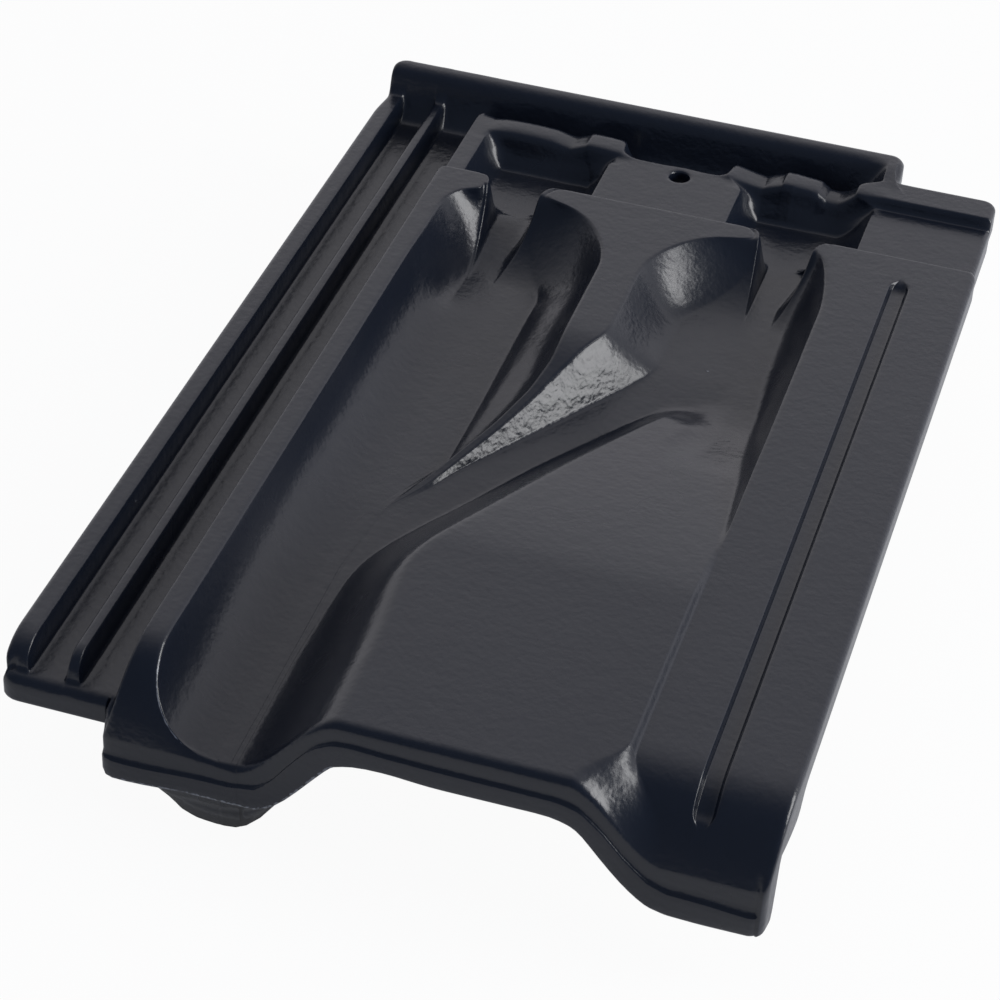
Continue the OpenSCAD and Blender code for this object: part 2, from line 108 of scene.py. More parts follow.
# %% Slanting lines, as marks along the tile and the x or the width there
CREST_LEFT = ([RIDGE_TIP, 181, 196, 211, 230, 246, RIDGE_END], [TIP_X, 108, 115.5, 123.5, 131.8, 136, RIDGE])
CREST_WIDE = ([RIDGE_TIP, 172, 211, 230, 240, 250, 257, 266],
              [0.6, 3.6, 3.8, 4.6, 6.2, 9.1, 12.4, TROUGH2 - RIDGE])
PANEL_EDGE = ([0, 60, 98, 112, 147, 197, 222, 246], [132, 131, 126, 131.5, 147, 168.5, 180, TROUGH2 + 37.5])
PANEL_FOOT = ([70, 115, 128, 148, 166, 195, 222, 240, 252],
              [PANEL_TOE, 97, 101, 112, 124, 142, 161.5, 174.5, 183])
print("crest and panel follow", len(CREST_LEFT[0]) + len(PANEL_EDGE[0]), "marks")


# %% Heights along the tile
def floor1(y):
    """First trough: 26 deep, and 4 more from the ridge's tip to the lip."""
    return -26.0 - 4.0 * (1 - part(y, 0, RIDGE_TIP))


def floor2(y):
    """Second trough: climbs from the first trough's level to 20 deep."""
    return mix(floor1(y), -20.0, part(y, RIDGE_TIP, PANEL_PEAK + 30))


def nose(y, drop):
    """Bank and flap curve down to the lip, softly at first: drop times a power of the distance."""
    return -drop * (1 - part(y, 0, NOSE_L + 8)) ** 2.6


def panel_slope(y):
    """The panel rises from its peak to 3 above the plateau, steeply first."""
    return mix(3.0, -15.5, part(y, PANEL_BEND + 10, PANEL_PEAK + 5) ** 1.25)


def arch(y):
    """Closing of a trough's head: one minus the height of a quarter ellipse."""
    return 1 - np.sqrt(1 - part(y, ARCH, ARCH + ARCH_L) ** 2)


def corner_arch(y):
    """The first trough's left edge closes later, on a shorter ellipse."""
    return 1 - np.sqrt(1 - part(y, ARCH + ARCH_L / 2, ARCH + ARCH_L - 3) ** 2)


def turn(y, r):
    """Rounded corner of the plateau at the step: a quarter circle of radius r, from 0 to r."""
    return r - np.sqrt(r * r - np.clip(y - (STEP - r), 0, r) ** 2)


def dome(y, bottom):
    """End wall of a trough: its depth times a mean of a quarter circle and a quarter wave."""
    t = part(y, ARCH + ARCH_L - DOME_L, ARCH + ARCH_L)
    return bottom * (0.7 * np.sqrt(1 - t * t) + 0.3 * np.cos(np.pi / 2 * t))


def drain_side(y, x, side):
    """Drain walls close in from the pocket to the trough, lean a little and end in rounded corners."""
    wall = mix(side * (DRAIN_W + 1) / 2, DRAIN_LEAN + side * DRAIN_MOUTH / 2, part(y, ARCH + 10, STEP))
    return x + wall + side * turn(y, DRAIN_R)


def drain_z(y, bottom):
    """The drain's floor climbs softly to the pocket's floor, 20 below the plateau."""
    return mix(bottom, -20.0, ease(part(y, ARCH + 10, STEP)))


# %% [markdown]
# ## The cross-sections of the pan
# The side lock has a rim, a rib and two channels. Beside it lie the bank, the first trough with its drain, the
# ridge that runs out into the trough, the second trough, the raised panel and the flap with its groove.

# %% Side lock
def strip_points(y):
    """Rim and rib stand 10.5 above the channels and sink at the front end on a quarter of an ellipse."""
    outer, top = [-STRIP_DROP - (CHANNEL - 0.3) * (1 - np.sqrt(1 - (1 - part(y, *ends)) ** 2))
                  for ends in ((0, 21), (0.5, 14))]
    bottom = -STRIP_DROP - CHANNEL
    return points(y, (EDGE_R, outer), (8.5, mix(outer, top, 0.5)), (10.0, bottom), (23.75, bottom),
                  (24.5, top), (28.5, top), (30.0, bottom), (BANK - 5.5, bottom))


# %% First trough
def before_tip(y, step):
    """Lines that lead from the ridge's tip to the lip drift left by step."""
    return (part(y, RIDGE_TIP - 40, RIDGE_TIP) - 1) * step


def crest_left(y):
    """The ridge's slanting crest runs from the tip to the straight ridge, bending as it nears it."""
    return np.interp(y, *CREST_LEFT)


def crest_width(y):
    """Sharp at the tip, about 4 wide on the slant, 17.5 wide on the straight ridge."""
    return np.interp(y, *CREST_WIDE)


def crest_z(y):
    """The crest climbs from the trough's floor to the plateau, ever faster, and ends softly."""
    return mix(floor1(y), 0.0, averaged(lambda v: part(v, RIDGE_TIP, RIDGE_END) ** 1.5, y))


def bowl(x):
    """Left wall of the first trough: a quarter of an ellipse, from 0 at the edge to 1 after 28 mm."""
    return np.sqrt(1 - part(x, TROUGH1 + BOWL_RUN, TROUGH1) ** 2)


def trough1_points(y):
    """Bank, bowl-shaped left wall, floor with the drain, and the foot of the right slope."""
    left, right = drain_side(y, DRAIN1, -1), drain_side(y, DRAIN1, 1)
    up = dome(y, floor1(y))
    toe = ease(part(y, ARCH, ARCH + ARCH_L))
    shift = before_tip(y, 24)
    bottom = drain_z(y, floor1(y))
    foot = np.minimum(RIDGE - 26.5, crest_left(y) - 3) + shift / 4
    edge = nose(y, 30)
    mouth = TROUGH1 + BOWL_RUN * (1 - np.sqrt(1 - np.minimum(edge / floor1(y), 0.99) ** 2))
    return points(
        y,
        (BANK + nose(y, 6) + turn(y, 3), edge),
        (mix(mouth, left - 2, corner_arch(y)), np.maximum(edge, floor1(y))),
        (np.maximum(mix(TROUGH1 + BOWL_SEEN, left - 1, toe), mouth + 2), up),
        (np.maximum(left, mouth + 3), up),
        (np.maximum(np.minimum(DRAIN1 - DRAIN_W / 2, left + turn(y, DRAIN_R) + 4), mouth + 3.5), bottom),
        (np.maximum(np.maximum(DRAIN1 + DRAIN_W / 2, right - turn(y, DRAIN_R) - 4) + shift / 8, mouth + 5), bottom),
        (np.maximum(right + shift / 8, mouth + 5.5), up),
        (mix(foot, right + 1, toe), up),
    )


# %% Ridge
def ridge_points(y):
    """Two edges of the crest, and two points between them that frame the nail hole further up."""
    left = mix(crest_left(y) + before_tip(y, 5), drain_side(y, DRAIN1, 1) + 2, arch(y))
    right = crest_left(y) + crest_width(y) + before_tip(y, 4.4)
    right = mix(right, drain_side(y, DRAIN2, -1) - 2, arch(y))
    inset = np.minimum(1.2, (right - left) / 5)
    z = crest_z(y)
    return points(y, (left, z - inset / 3), (left + inset, z), (mix(left, right, 0.4), z),
                  (mix(left, right, 0.6), z), (right - inset, z), (right, z - inset / 3))


# %% Second trough and panel
def trough2_points(y):
    """Foot of the facet, the slanting channel, the panel and its right slope."""
    drain_left, drain_right = drain_side(y, DRAIN2, -1), drain_side(y, DRAIN2, 1)
    up = dome(y, floor2(y))
    toe = ease(part(y, ARCH, ARCH + ARCH_L))
    opening = part(y, PANEL_PEAK + 6, ARCH)
    edge, toe_x = (averaged(lambda v: np.interp(v, *marks), y) for marks in (PANEL_EDGE, PANEL_FOOT))
    front = 1 - ease(part(y, 0, NOSE_L))
    right_toe = mix(FLAP - 3, FLAP - 16, part(y, PANEL_BEND + 56, PANEL_PEAK + 40))
    right = mix(mix(right_toe, FLAP - 17, front), drain_right + 1, toe)
    # the panel fades into the trough's floor behind its peak, ever more softly towards the right
    over, over_mid, over_right = [
        np.maximum(mix(panel_slope(y), floor2(y), ease(part(y, PANEL_PEAK - a, PANEL_PEAK + b))), floor2(y))
        for a, b in ((6, 14), (12, 22), (46, 46))]
    drain_floor = np.maximum(DRAIN2 + DRAIN_W / 2, drain_right - turn(y, DRAIN_R) - 4)
    facet = mix(TIP_X, TROUGH2 + 20, part(y, RIDGE_TIP, RIDGE_END + 16))
    facet = np.maximum(crest_left(y) + crest_width(y) + 1.5, facet)
    return points(
        y,
        (mix(facet + before_tip(y, 4), drain_left - 1, toe), up),
        (mix(toe_x, drain_left, opening), mix(floor2(y), up, opening)),
        (mix(edge, DRAIN2 - DRAIN_W / 2, opening), over),
        (mix(mix(edge, right, 1 / 3), drain_floor, opening), over_mid),
        (mix(mix(edge, right, 2 / 3), drain_right, opening), mix(over_right, up, opening)),
        (right, mix(over_right, up, opening)),
        (mix(mix(FLAP, FLAP + 17, front), drain_right + 2, arch(y)), nose(y, 26)),
    )


# %% Flap
def flap_points(y):
    """Flat flap with a shallow groove that starts and ends softly, and a set-in front corner."""
    top = nose(y, 26)
    dip = 3.0 * ease(part(y, 9, 14)) * (1 - ease(part(y, STEP - 22.5, STEP - 18.8)))
    side = WIDTH - EDGE_R - 2.5 * (1 - part(y, 0, 1.5 * NOSE_L)) ** 2 - 0.6 * turn(y, 5)
    half = 4.25 * np.sqrt(1 - np.maximum(part(y, 13, 8.5), part(y, STEP - 23, STEP - 18.8)) ** 2 * 0.98)
    mid = GROOVE + 4.25
    return points(y, (mid - half, top), (mid - half * 0.67, top - dip), (mid + half * 0.67, top - dip),
                  (mid + half, top), (FINGER - 2, top), (FINGER, top), (FINGER + 4, top), (FINGER + 6, top),
                  (side, top))


# %% [markdown]
# ## The cross-sections of the head
# Behind a step of 5 mm lie the platforms, the two pockets with their ribs, the gutter and the head rim, which
# the tile above covers. The same list of points goes on, so the loft needs no seam here.

# %% Head
def rim_z(y):
    """The rim's front face sweeps up by a power of 2.6, then the top is a flat parabola."""
    sweep = mix(-STRIP_DROP - CHANNEL, -1.5, part(y, NOTCH - 2, RIM) ** 2.6)
    return np.where(y < RIM, sweep, 1.5 - 3 * (1 - part(y, RIM, RIM + 5)) ** 2)


def behind_ribs(y, z):
    """Behind the ribs every line drops into the gutter and then climbs the rim."""
    return np.maximum(mix(z, -24.0, ease(part(y, RIB_BACK, GUTTER))), rim_z(y))


def head_points(y):
    """The same points as in the pan, now on the platforms, pockets, ribs, gutter and rim."""
    spread = ease(part(y, POCKET, RIB))
    pocket = mix(-20.0, -3.8, spread)
    plat = behind_ribs(y, -5.0 + 0 * y)
    floor = behind_ribs(y, pocket)
    bump = behind_ribs(y, mix(pocket, -2.5, spread))
    dip = behind_ribs(y, mix(pocket, -7.5, spread))
    slot = behind_ribs(y, mix(-20.0, -7.5, spread))
    end = 5.0 * (1 - np.sqrt(1 - part(y, RIB_BACK - 5, RIB_BACK + 1) ** 2))
    middle = behind_ribs(y, mix(-5.0, -24.0, ease(part(y, RIB + 3, RIB + 8))))
    link = mix(-5.0, 0.0, ease(part(y, RIB - 1.8, RIB - 0.3)))
    corner = mix(link, 1.5, ease(part(y, NOTCH - 8, RIM)))
    bulge = 9.0 * ease(part(y, RIB - 2.5, RIB)) * (1 - ease(part(y, RIB + 8, RIB_BACK)))
    strip = strip_points(y)
    strip[..., 0] += 2.5 * ease(part(y, GUTTER - 12, RIM))[:, None] * (1 - part(strip[..., 0], 0, 8.5))
    rise, blur = strip[..., 1] - rim_z(y)[:, None], 3.0 * part(y, GUTTER, RIM - 3)[:, None]
    strip[..., 1] = rim_z(y)[:, None] + (rise + np.sqrt(rise ** 2 + blur ** 2)) / 2
    plat1, plat2, side = RIDGE - 20, TROUGH2 + 23, WIDTH - 1.5 - EDGE_R
    rim_end = WIDTH - RIM_END - EDGE_R
    beside = mix(WIDTH - 39, rim_end + 1.2, ease(part(y, RIB + 3, LENGTH - BACK_R)))
    rest = points(
        y,
        (BANK + end, plat), (TROUGH1 - 1, plat), (TROUGH1 + 8, floor), (DRAIN1 - DRAIN_W, floor),
        (DRAIN1 - DRAIN_W / 2, floor), (DRAIN1 + DRAIN_W / 2, floor), (DRAIN1 + DRAIN_W - 1 + 3 * spread, dip),
        (plat1 - 9 - 4 * spread, bump), (plat1 + 4 * spread - end, mix(plat, bump, 0.7 * spread)),
        (plat1 + 8 + 2 * spread, middle), (NAIL_X - 5, middle), (NAIL_X + 5, middle),
        (plat2 - 8 - 4 * spread, middle), (plat2 - 8 * spread + end, mix(plat, bump, 0.7 * spread)),
        (plat2 + 9, dip), (DRAIN2 - DRAIN_W, bump), (DRAIN2 - DRAIN_W / 2, bump), (DRAIN2 + DRAIN_W / 2, floor),
        (DRAIN2 + DRAIN_W - 2, slot), (FLAP - 11 - 2 * spread, slot), (FLAP + 4 - bulge, corner), (rim_end, corner),
        (beside, link), (WIDTH - 31, link), (FINGER - 5, link), (FINGER - 2, link), (FINGER, link),
        (FINGER + 4, link), (FINGER + 6, link), (side, link),
    )
    return np.concatenate([strip, rest], 1)


# %% All sections
def section(y):
    """Pan before the step, head behind it, and a straight blend within the step's 1.5 mm."""
    before, after = np.minimum(y, STEP), np.maximum(y, STEP + 1.5)
    pan = np.concatenate([strip_points(before), trough1_points(before), ridge_points(before),
                          trough2_points(before), flap_points(before)], 1)
    return mix(pan, head_points(after), part(y, STEP, STEP + 1.5)[:, None, None])


# %% [markdown]
# ## Rows and columns
# A loft shows its edges well only where it has enough points. Rows crowd where the form turns, at the lip, the
# arches and the head, and columns crowd towards each line, because that is where the clay bends. Each span
# between two lines also has a kind, which says how the clay climbs from one line to the other.

# %% Rows
BACK, HOLE_ROW = LENGTH - BACK_R, NAIL_Y - 5
STATIONS = [(0, 4, 5), (4, 28, 22), (28, 43, 6), (43, 96, 12), (96, 157, 24), (157, 262, 52), (262, 310, 14),
            (310, 356, 40), (356, 364, 11), (364, 365.5, 5), (365.5, 393, 13), (393, HOLE_ROW, 2),
            (HOLE_ROW, HOLE_ROW + 10, 8), (HOLE_ROW + 10, 408, 6), (408, 421.5, 12), (421.5, 425.5, 6),
            (425.5, 434, 14), (434, 439, 7), (439, BACK, 3)]
rows = np.concatenate([np.linspace(a, b, n, endpoint=False) for a, b, n in STATIONS] + [[BACK]])
print(len(rows), "rows from lip to rim")

# %% Columns
FLAT, SLOPE, BOWL, RISE, FACET, RISER, SIDE = range(7)
SPANS = [(6, FLAT), (5, SLOPE), (8, FLAT), (4, SLOPE), (5, FLAT), (4, SLOPE), (7, FLAT), (9, SLOPE),
         (7, FLAT), (15, BOWL), (4, FLAT), (5, SLOPE), (3, FLAT), (5, SLOPE), (7, FLAT), (15, RISE),
         (6, SLOPE), (5, FLAT), (8, FLAT), (5, FLAT), (6, SLOPE),
         (15, FACET), (6, FLAT), (14, RISER), (7, FLAT), (7, FLAT), (7, FLAT), (14, SIDE),
         (8, FLAT), (8, SLOPE), (4, FLAT), (5, SLOPE), (5, FLAT), (2, FLAT), (2, FLAT), (2, FLAT), (5, FLAT)]
NAIL_SPAN = 18
span_of = np.concatenate([np.full(n, k) for k, (n, _) in enumerate(SPANS)] + [[len(SPANS) - 1]])
even = np.concatenate([np.arange(n) / n for n, _ in SPANS] + [[1.0]])
kind = np.array([k for _, k in SPANS])[span_of]
# columns crowd at both ends of a span, but stay even where the nail hole is
across = np.where(span_of != NAIL_SPAN, (1 - np.cos(np.pi * even)) / 2, even)
across = np.where(kind == BOWL, even ** 1.6, across)
line_at = span_of + even
print(len(span_of), "columns from edge to edge; nail block starts at column", np.argmax(span_of == NAIL_SPAN),
      "and row", np.argmin(abs(rows - HOLE_ROW)))


def climb(y, t):
    """How high a column is on its slope: soft steps, quarter waves steep at one end, or a step and a flat band."""
    y, steep_first, steep_last = y[:, None], np.sin(np.pi / 2 * t), 1 - np.cos(np.pi / 2 * t)
    band = np.interp(t, [0, 0.04, 0.16, 0.72, 0.9, 1], [0, 0.01, 0.16, 0.41, 0.78, 1])
    heights = {
        SLOPE: ease(t),
        BOWL: mix(steep_first, t, 0.6 * part(y, ARCH - 5, ARCH + 15)),
        RISE: mix(band, steep_last, 0.5 * part(y, ARCH - 10, ARCH + 15)),
        FACET: mix(t, steep_first, part(y, RIDGE_END, ARCH) * (1 - 0.5 * part(y, ARCH, ARCH + 20))),
        RISER: mix(ease(t), mix(t, ease(t), 0.3), part(y, PANEL_BEND - 20, PANEL_BEND + 30)),
        SIDE: mix(ease(t), steep_last, part(y, 110, 160)),
    }
    return np.select([kind == k for k in heights], list(heights.values()), t)


def spread_out(y, keys):
    """Points between two neighbouring lines: x blends by the column's share, z by its climb."""
    first, second = keys[:, span_of], keys[:, span_of + 1]
    return mix(first[..., 0], second[..., 0], across), mix(first[..., 1], second[..., 1], climb(y, across))


# %% [markdown]
# ## The underside
# The photograph doesn't show it. Clay of even thickness follows the top, with two nibs below the pockets, a
# boss below the first trough's mouth and two fingers below the flap, which lock into the next tile. The lip's
# foot and the crease under its band were measured on the photograph, so they are lines of their own.

# %% Underside
WALL, FLAP_T, STRIP_T = 12.0, 10.0, 7.0
LIP_X = [43, 59, 69, 79, 91, 101, 107, 115, 123, 130, 136, 150, 166, 211, 220, 228, 237, 245, 252, 265, 284]
CREASE = [-39.7, -39.4, -38.7, -37.8, -37.7, -36.0, -31.4, -19.8, -9.7, -5.6, -4.6, -5.3, -5.7, -5.8, -7.9, -15.2,
          -26.0, -33.1, -35.8, -36.2, -37.6]
FOOT = [-49.3, -49.0, -47.8, -47.2, -47.4, -47.2, -45.0, -36.5, -26.0, -17.5, -14.6, -13.8, -15.2, -14.7, -18.5,
        -28.5, -39.0, -45.3, -47.3, -47.7, -47.3]
line = np.arange(38)


def between(first, last):
    """True for the lines from first to last."""
    return (line >= first) & (line <= last)


def underside(y, z):
    """Top minus the clay's thickness, pulled down beside lower lines; nibs and fingers hang below it."""
    y = y[:, None]
    side = np.pad(z, ((0, 0), (1, 1)), mode="edge")
    shell = mix(z, np.minimum(np.minimum(side[:, :-2], z), side[:, 2:]), 0.35)
    out = shell - np.where(line < 28, WALL, FLAP_T)
    nib = part(y, STEP + 10, STEP + 12) * (1 - part(y, STEP + 31, STEP + 37))
    out = np.where((between(10, 15) | between(22, 27)) & (y > STEP), mix(shell - WALL, -PLATEAU, nib), out)
    finger = (between(30, 31) | between(34, 35)) & (y > 12) & (y < POCKET)
    out = np.where(finger, -20.0, out)
    out = np.where((line >= 36) & (y > NOSE_L), z - 13.0, out)
    strip_t = mix(STRIP_T + 4.5, STRIP_T, ease(part(y, 9, 12)))
    return np.where(line <= 7, np.minimum(-STRIP_DROP - CHANNEL, z) - strip_t, out)


def lip_and_boss(x, y, low):
    """The lip hangs down to its foot line in front; behind it the boss has slanting sides and a flat foot."""
    low = mix(low, np.interp(x, LIP_X, FOOT), (1 - ease(part(y, 9, 12))) * part(line_at, 7.4, 8))
    boss = np.interp(x, [56, 63, 71, 78, 84, 92, 98, 104, 109, 114],
                     [-20, -50, -60, -63.3, -PLATEAU, -PLATEAU, -61, -53, -46, -20])
    return mix(low, np.minimum(low, boss), ease(part(y, 0.7, 2.5)) * (1 - ease(part(y, 33, 43))))


# %% The grid
keys = section(rows)
X, Z = spread_out(rows, keys)
low_keys = underside(rows, keys[..., 1])
B = mix(low_keys[:, span_of], low_keys[:, span_of + 1], across)
Y = np.repeat(rows[:, None], X.shape[1], 1)
B = lip_and_boss(X, Y, B)
in_bowl = (line_at > 9) & (line_at < 13) & (Y < ARCH)
Z = np.where(in_bowl, mix(np.minimum(floor1(Y) * bowl(X), nose(Y, 30)), Z, part(Y, ARCH - 20, ARCH)), Z)
print("grid", X.shape, "highest", Z.max(), "lowest", B.min())

# %% [markdown]
# ## The outline
# The strip starts 10 mm behind the lip, and the flap's head ends 22 mm before the rim does. Both steps in the
# outline are made by sliding the rows of those columns, so the grid stays whole. The corners are then rounded
# by turning squares of the grid into quarter circles.

# %% Slid rows
BANK_LEAN, FLAP_LEAN = 67, 63
lean = BANK_LEAN * (1 - ease(part(X[0], 70, 105))) + FLAP_LEAN * ease(part(X[0], 215, 249))
tilt = np.radians(lean) * part(line_at, 7, 8)
front_r = mix(STRIP_R, LIP_R, part(line_at, 7, 8))
inset = mix(STRIP_FRONT, 1.4, part(line_at, 7, 8)) + front_r * (1 - np.sin(tilt))
Y += inset * (1 - part(Y, 0, 60))
squeezed = RIB + (Y - RIB) * (NOTCH - EDGE_R - RIB) / (BACK - RIB)
Y = mix(Y, np.minimum(Y, squeezed), part(line_at, 29, 30))


# %% Smoothing
def soften(grid, times):
    """Each point moves to the weighted mean of itself and its neighbours, with weights 1, 2, 1 both ways."""
    for _ in range(times):
        wide = np.pad(grid, ((0, 0), (1, 1)), mode="reflect", reflect_type="odd")
        grid = (wide[:, :-2] + 2 * grid + wide[:, 2:]) / 4
        tall = np.pad(grid, ((1, 1), (0, 0)), mode="reflect", reflect_type="odd")
        grid = (tall[:-2] + 2 * grid + tall[2:]) / 4
    return grid


X, Y, Z, B = soften(X, 2), soften(Y, 2), soften(Z, 2), soften(B, 1)
on_ribs = part(Y, POCKET - 2, POCKET) * (1 - part(Y, RIB_BACK, GUTTER))
on_ribs = on_ribs * part(line_at, 8, 9) * (1 - part(line_at, 28, 29))
Z = mix(Z, soften(Z, 12), on_ribs)
print("softened", X.shape, "and", int((on_ribs > 0).sum()), "points on the ribs more")


# %% Rounded corners
def round_corner(x, y, corner_x, corner_y, to_x, to_y, r):
    """Inside the square at a corner, a point's larger distance from the centre becomes its radius."""
    a, b = (corner_x + to_x * r - x) * to_x, (corner_y + to_y * r - y) * to_y
    inside = (a > 0) & (b > 0)
    scale = np.where(inside, np.maximum(a, b) / np.maximum(np.hypot(a, b), 1e-9), 1.0)
    return np.where(inside, corner_x + to_x * (r - a * scale), x), np.where(
        inside, corner_y + to_y * (r - b * scale), y)


for corner in [(EDGE_R, Y[0, 0], 1, 1, 4.0), (X[0, -1], Y[0, -1], -1, 1, 3.0), (X[-1, 0], BACK, 1, -1, 4.0),
               (X[-1, -1], NOTCH - EDGE_R, -1, -1, 4.0), (WIDTH - RIM_END - EDGE_R, BACK, -1, -1, 4.0)]:
    X, Y = round_corner(X, Y, *corner)
print("outline", X.min(), X.max(), Y.min(), Y.max())

# %% [markdown]
# ## The nail hole
# A square of eight by eight grid cells around the hole becomes a disc: each ring of the square turns into a
# circle, and the cells inside the hole are left out. The tube then joins the top ring to the one below.

# %% Hole rings
row0, col0 = int(np.argmin(abs(rows - HOLE_ROW))), int(np.argmax(span_of == NAIL_SPAN))
CELLS, MARGIN = 8, 6
ri = np.arange(X.shape[0])[:, None] - (row0 + CELLS // 2) + 0 * X
ci = np.arange(X.shape[1])[None] - (col0 + CELLS // 2) + 0 * X
ring = np.maximum(abs(ri), abs(ci))
far = np.maximum(np.hypot(ri, ci), 1e-9)
radius = (NAIL_R + 0.8) * ring / (CELLS // 2)
blend = np.where(ring <= CELLS // 2, 0, ease(part(ring, CELLS // 2, CELLS // 2 + MARGIN)))
X = mix(NAIL_X + radius * ci / far, X, blend)
Y = mix(NAIL_Y + radius * ri / far, Y, blend)
print("hole ring radius", np.hypot(X[row0, col0 + 4] - NAIL_X, Y[row0, col0 + 4] - NAIL_Y))


# %% [markdown]
# ## The skirt
# The grid's border is a closed loop. The edge of the tile is a profile carried along that loop: a rounded top
# edge, the wall, and a rounded foot. Along the lip the wall has its band and the ledge below it.

# %% Border loop
R, C = X.shape


def border(grid):
    """Values along the border: front row, right column, back row and left column, once round."""
    return np.concatenate([grid[0, :-1], grid[:-1, -1], grid[-1, :0:-1], grid[:0:-1, 0]])


bx, by, bz, bb = (border(g) for g in (X, Y, Z, B))
ahead, behind = np.roll(bx, -1) - np.roll(bx, 1), np.roll(by, -1) - np.roll(by, 1)
length = np.hypot(ahead, behind)
out_x, out_y = behind / length, -ahead / length
on_lip = np.zeros(len(bx))
on_lip[:C - 1] = part(line_at[:-1], 7.5, 8.2)
edge_r = np.full(len(bx), EDGE_R)
edge_r[:C - 1] = front_r[:-1]
edge_r[C - 1 + R - 1:2 * (C - 1) + R - 1] = mix(BACK_R, EDGE_R, part(line_at, 29, 30))[:0:-1]
start = np.zeros(len(bx))
start[:C - 1] = tilt[:-1]
print("border", len(bx), "points, lip", int((on_lip > 0.5).sum()))

# %% Profile of the edge
FOOT_R = 1.6
levels = []
for share in np.linspace(0, 1, 6)[1:]:
    angle = mix(start, np.pi / 2, share)
    levels.append((edge_r * (np.sin(angle) - np.sin(start)), bz - edge_r * (np.cos(start) - np.cos(angle))))
reach, under = levels[-1]
crease = np.minimum(under - 0.5, mix(mix(under, bb, 0.4), np.interp(bx, LIP_X, CREASE), on_lip))
for share in (0.6, 1.0):
    levels.append((reach, mix(under, crease, share)))
for depth, ledge in [(0.25, 0.6), (0.6, 1.0), (1.0, 1.2)]:
    levels.append((reach + ledge * on_lip, crease - depth))
for share in (0.3, 0.65, 1.0):
    levels.append((reach + 1.2 * on_lip, mix(crease - 1.0, bb + FOOT_R, share)))
for angle in np.pi / 2 * np.array([0.4, 0.75, 1.0]):
    levels.append((reach + 1.2 * on_lip - FOOT_R * (1 - np.cos(angle)), bb + FOOT_R * (1 - np.sin(angle))))
skirt = np.stack([np.stack([bx + o * out_x, by + o * out_y, z], -1) for o, z in levels])
print("skirt", skirt.shape)

# %% [markdown]
# ## One closed mesh
# The top has every row and column. The underside, which is seldom seen, has every second one. Faces between
# the skirt's last loop and the underside's border go three to each pair of points.

# %% Faces
def grid_faces(first, rows_n, cols_n, keep, flip):
    """Quads of a grid whose points start at index first, for the cells that keep marks."""
    r, c = np.nonzero(keep)
    a = first + r * cols_n + c
    quads = np.stack([a, a + 1, a + 1 + cols_n, a + cols_n], -1)
    return quads[:, ::-1] if flip else quads


def loop_faces(upper, lower):
    """Quads between two closed loops with equally many points; seen from outside, upper lies above."""
    return np.stack([upper, lower, np.roll(lower, -1), np.roll(upper, -1)], -1)


def bridge(many, few, flip):
    """Triangles between a closed loop and one with half as many points."""
    a, b, c = many[0::2], many[1::2], np.roll(many[0::2], -1)
    p, q = few, np.roll(few, -1)
    tris = np.concatenate([np.stack([a, p, b], -1), np.stack([b, p, q], -1), np.stack([b, q, c], -1)])
    return tris[:, ::-1] if flip else tris


def ring_of(index, row, col, cells):
    """Indices around a block of cells, in the same order as border."""
    return border(index[row:row + cells + 1, col:col + cells + 1])


top_index = np.arange(R * C).reshape(R, C)
half = (slice(None, None, 2), slice(None, None, 2))
R2, C2 = X[half].shape
first_skirt = R * C
skirt_index = first_skirt + np.arange(skirt.shape[0] * skirt.shape[1]).reshape(skirt.shape[:2])
first_low = skirt_index[-1, -1] + 1
low_index = first_low + np.arange(R2 * C2).reshape(R2, C2)
top_ring, low_ring = ring_of(top_index, row0, col0, CELLS), ring_of(low_index, row0 // 2, col0 // 2, CELLS // 2)
upper, lower = np.stack([X, Y, Z], -1), np.stack([X[half], Y[half], B[half]], -1)
verts = np.concatenate([surface.reshape(-1, 3) for surface in (upper, skirt, lower)])
print("points", len(verts), "ring", len(top_ring), len(low_ring))

# %% Hole and faces
hole_levels = []
for r, z in [(NAIL_R + 0.3, 0.25), (NAIL_R, 0.9), (NAIL_R, 6.0), (NAIL_R, 11.0)]:
    p = verts[top_ring].copy()
    p[:, 0] = NAIL_X + (p[:, 0] - NAIL_X) * r / (NAIL_R + 0.8)
    p[:, 1] = NAIL_Y + (p[:, 1] - NAIL_Y) * r / (NAIL_R + 0.8)
    p[:, 2] -= z
    hole_levels.append(p)
first_hole = len(verts)
hole_index = first_hole + np.arange(len(hole_levels) * len(top_ring)).reshape(len(hole_levels), -1)
verts = np.concatenate([verts] + hole_levels)
keep_top = np.ones((R - 1, C - 1), bool)
keep_top[row0:row0 + CELLS, col0:col0 + CELLS] = False
keep_low = np.ones((R2 - 1, C2 - 1), bool)
keep_low[row0 // 2:row0 // 2 + CELLS // 2, col0 // 2:col0 // 2 + CELLS // 2] = False
loops = [border(top_index)] + list(skirt_index)
quads = [grid_faces(0, R, C, keep_top, False), grid_faces(first_low, R2, C2, keep_low, True)]
quads += [loop_faces(a, b) for a, b in zip(loops[:-1], loops[1:])]
tube = [top_ring] + list(hole_index)
quads += [loop_faces(a, b)[:, ::-1] for a, b in zip(tube[:-1], tube[1:])]
tris = np.concatenate([bridge(loops[-1], border(low_index), False), bridge(tube[-1], low_ring, True)])
quads = np.concatenate(quads)
print(len(quads), "quads and", len(tris), "triangles")

